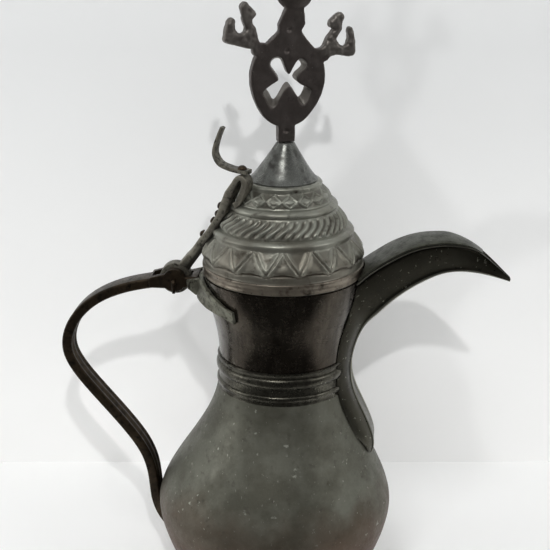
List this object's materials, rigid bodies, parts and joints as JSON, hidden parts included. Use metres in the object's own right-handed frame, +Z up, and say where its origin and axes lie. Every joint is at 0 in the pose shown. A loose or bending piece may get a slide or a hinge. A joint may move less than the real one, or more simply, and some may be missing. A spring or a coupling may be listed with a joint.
{
  "type": "coffee pot",
  "caption": "Tall waisted metal coffee pot with a curved beak spout, a forged bar handle and a hinged, tiered dome lid under a pierced bird finial.",
  "frame": {"origin": "on the neck's axis, in the plane that the base stands on", "axes": "+X towards the spout, -X towards the handle, +Z up, the lid's hinge axis along Y"},
  "size_m": [0.3013, 0.1628, 0.434],
  "materials": {
    "body_brass": "grey-green patina, worn satin",
    "lid_brass": "grey-green patina, embossed",
    "spout_brass": "dark oxidised",
    "cast_brass": "dark brown casting",
    "strap_brass": "worn, hammered"
  },
  "bodies": {
    "pot": {"base_plate": "body_brass", "belly_shell": "body_brass", "waist_ring": "body_brass", "neck_collar": "body_brass", "spout_trough": "spout_brass", "spout_roof": "spout_brass", "handle": "cast_brass", "hinge_bracket": "body_brass", "hinge_pin": "cast_brass"},
    "lid": {"lid_rim_band": "lid_brass", "lid_inner_collar": "lid_brass", "lid_dome": "lid_brass", "lid_cone": "lid_brass", "finial_plate": "cast_brass", "finial_washer": "cast_brass", "hinge_strap": "strap_brass", "strap_rivet_1": "cast_brass", "strap_rivet_2": "cast_brass", "strap_rivet_3": "cast_brass", "strap_rivet_4": "cast_brass", "thumb_lift": "strap_brass", "thumb_rivet": "cast_brass"}
  },
  "joints": [
    {"name": "lid_hinge", "type": "hinge", "parent": "pot", "child": "lid", "pos_m": [-0.072, 0, 0.233], "axis": [0, -1, 0], "range_deg": [0, 100]}
  ]
}
